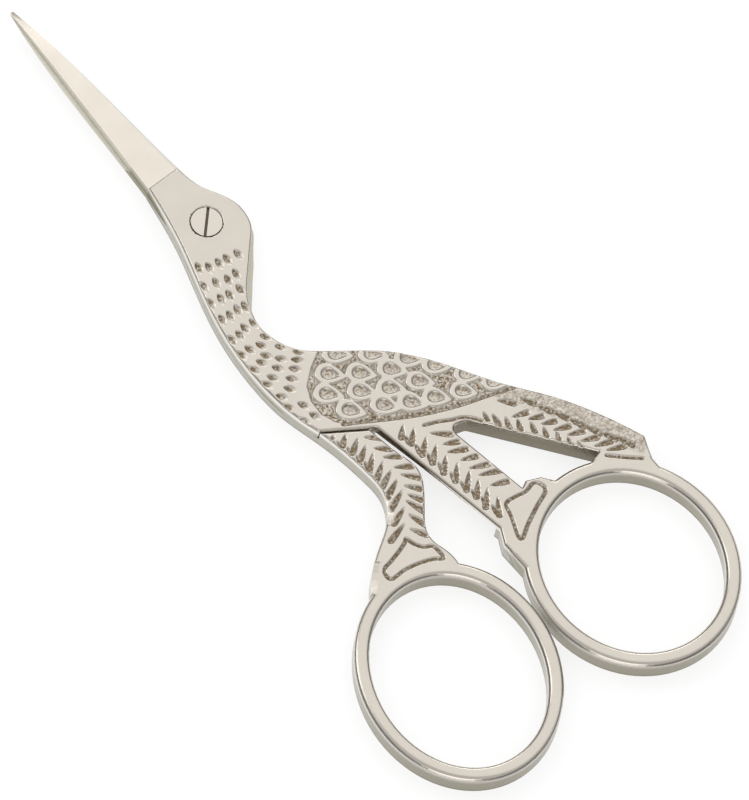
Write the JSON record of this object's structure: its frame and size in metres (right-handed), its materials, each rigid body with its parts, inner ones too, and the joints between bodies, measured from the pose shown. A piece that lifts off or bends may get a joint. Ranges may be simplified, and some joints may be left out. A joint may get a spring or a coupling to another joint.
{
  "type": "stork embroidery scissors",
  "caption": "Small embroidery scissors shaped as a stork: the beak is a pair of pointed blades on a slotted pivot screw, the legs are shanks and the feet are oval finger rings.",
  "frame": {"origin": "on the pivot axis, at the underside on which the closed scissors lie", "axes": "+Z along the pivot axis, up through the screw's slotted head; +Y towards the blade tips; +X towards the side of the stork's chest and of its folded tail"},
  "size_m": [0.0402, 0.0914, 0.0028],
  "materials": {
    "front_half_steel": "nickel-plated forged steel, polished, with brown patina in the engraving",
    "rear_half_steel": "nickel-plated forged steel, polished, with brown patina in the engraving",
    "screw_steel": "turned steel, plated, slotted head"
  },
  "bodies": {
    "rear_side": {"rear_half": "rear_half_steel", "pivot_screw": "screw_steel"},
    "front_side": {"front_half": "front_half_steel"}
  },
  "joints": [
    {"name": "blade_pivot", "type": "hinge", "parent": "rear_side", "child": "front_side", "pos_m": [0, 0, 0.0014], "axis": [0, 0, 1], "range_deg": [0, 75]}
  ]
}
